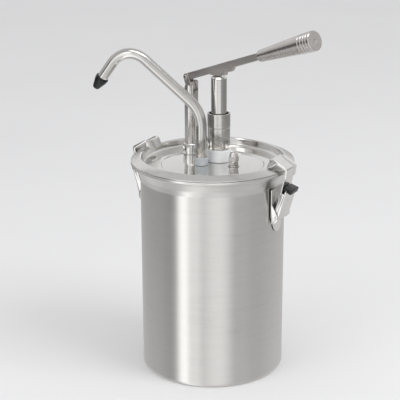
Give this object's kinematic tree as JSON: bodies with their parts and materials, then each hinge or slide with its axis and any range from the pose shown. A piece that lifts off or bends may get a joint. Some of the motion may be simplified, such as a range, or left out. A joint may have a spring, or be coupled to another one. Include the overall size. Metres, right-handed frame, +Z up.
{
  "type": "condiment pump dispenser",
  "caption": "Straight-sided steel pot with a clamped lid carrying a lever-worked piston pump and a swan-neck spout that doses sauce into food held under its nozzle.",
  "frame": {"origin": "middle of the pot's flat underside, on the surface that it stands on", "axes": "+Z up along the pot's axis, +X along the hand lever from its column towards the grip, +Y completing a right-handed frame; the spout points towards -X and -Y"},
  "size_m": [0.3291, 0.2324, 0.5074],
  "materials": {
    "satin_steel": "satin brushed",
    "polished_steel": "bright polished",
    "lever_steel": "matt tumbled",
    "grip_steel": "fine turned",
    "spring_steel": "drawn wire",
    "white_plastic": "turned acetal",
    "grey_plastic": "translucent moulded",
    "black_plastic": "moulded, slight gloss",
    "black_rubber": "moulded rubber",
    "silicone": "soft silicone"
  },
  "bodies": {
    "root": {"pot_body": "satin_steel", "lid": "polished_steel", "lid_gasket": "silicone", "pump_bushing": "white_plastic", "guide_sleeve": "polished_steel", "return_spring": "spring_steel", "flange_gasket": "silicone", "pump_flange": "satin_steel", "pump_barrel": "satin_steel", "valve_body": "white_plastic", "suction_tube": "satin_steel", "discharge_tube": "satin_steel", "spout_seal": "black_rubber", "spout_bushing": "grey_plastic", "spout_tube": "polished_steel", "nozzle_tip": "black_plastic", "flange_stud_front": "satin_steel", "stud_washer_front": "satin_steel", "lock_nut_front": "polished_steel", "cap_nut_front": "polished_steel", "flange_stud_rear": "satin_steel", "stud_washer_rear": "satin_steel", "lock_nut_rear": "polished_steel", "cap_nut_rear": "polished_steel", "lever_column": "satin_steel", "column_collar": "polished_steel", "column_washer": "satin_steel", "column_nut": "satin_steel", "fork_pin": "polished_steel", "latch_base_right": "satin_steel", "latch_base_left": "satin_steel"},
    "plunger": {"plunger_sleeve": "polished_steel", "plunger_cap": "polished_steel", "piston_rod": "polished_steel", "piston": "white_plastic", "piston_seal": "black_rubber", "piston_nut": "satin_steel"},
    "link": {"link_block": "satin_steel", "lever_pin": "polished_steel"},
    "handle": {"lever_bar": "lever_steel", "lever_grip": "grip_steel"},
    "latch_lever_right_body": {"latch_lever_right": "satin_steel", "latch_tip_right": "black_plastic", "claw_pin_right": "polished_steel"},
    "latch_claw_right_body": {"latch_claw_right": "satin_steel"},
    "latch_lever_left_body": {"latch_lever_left": "satin_steel", "latch_tip_left": "black_plastic", "claw_pin_left": "polished_steel"},
    "latch_claw_left_body": {"latch_claw_left": "satin_steel"},
    "inlet_valve": {"inlet_ball": "polished_steel"},
    "outlet_valve": {"outlet_ball": "polished_steel"}
  },
  "joints": [
    {"name": "handle_swing", "type": "hinge", "parent": "link", "child": "handle", "pos_m": [-0.0716, 0.0215, 0.4123], "axis": [0, 1, 0], "range_deg": [0, 20], "stiffness_Nm_per_rad": 4.14, "springref_deg": -31.46},
    {"name": "link_swing", "type": "hinge", "parent": "root", "child": "link", "pos_m": [-0.0646, 0.0215, 0.3965], "axis": [0, 1, 0], "range_deg": [0, 8.1]},
    {"name": "plunger_slide", "type": "slide", "parent": "root", "child": "plunger", "axis": [0, 0, 1], "range_m": [-0.032, 0], "deforming": ["return_spring"]},
    {"name": "latch_lever_right_swing", "type": "hinge", "parent": "root", "child": "latch_lever_right_body", "pos_m": [0.10552, 0.02926, 0.2415], "axis": [-0.2672, 0.9636, 0], "range_deg": [0, 125]},
    {"name": "latch_claw_right_swing", "type": "hinge", "parent": "latch_lever_right_body", "child": "latch_claw_right_body", "pos_m": [0.10576, 0.02933, 0.2449], "axis": [-0.2672, 0.9636, 0], "range_deg": [-128, 0]},
    {"name": "latch_lever_left_swing", "type": "hinge", "parent": "root", "child": "latch_lever_left_body", "pos_m": [-0.10552, -0.02926, 0.2415], "axis": [0.2672, -0.9636, 0], "range_deg": [0, 125]},
    {"name": "latch_claw_left_swing", "type": "hinge", "parent": "latch_lever_left_body", "child": "latch_claw_left_body", "pos_m": [-0.10576, -0.02933, 0.2449], "axis": [0.2672, -0.9636, 0], "range_deg": [-128, 0]},
    {"name": "inlet_ball_lift", "type": "slide", "parent": "root", "child": "inlet_valve", "axis": [0, 0, 1], "range_m": [0, 0.004]},
    {"name": "outlet_ball_lift", "type": "slide", "parent": "root", "child": "outlet_valve", "axis": [0, 0, 1], "range_m": [0, 0.004]}
  ],
  "couplings": [
    {"joint": "link_swing", "follows": "handle_swing", "ratio": 0.4},
    {"joint": "plunger_slide", "follows": "handle_swing", "m_per_rad": -0.091},
    {"joint": "latch_claw_right_swing", "follows": "latch_lever_right_swing", "ratio": -1.015},
    {"joint": "latch_claw_left_swing", "follows": "latch_lever_left_swing", "ratio": -1.015}
  ]
}
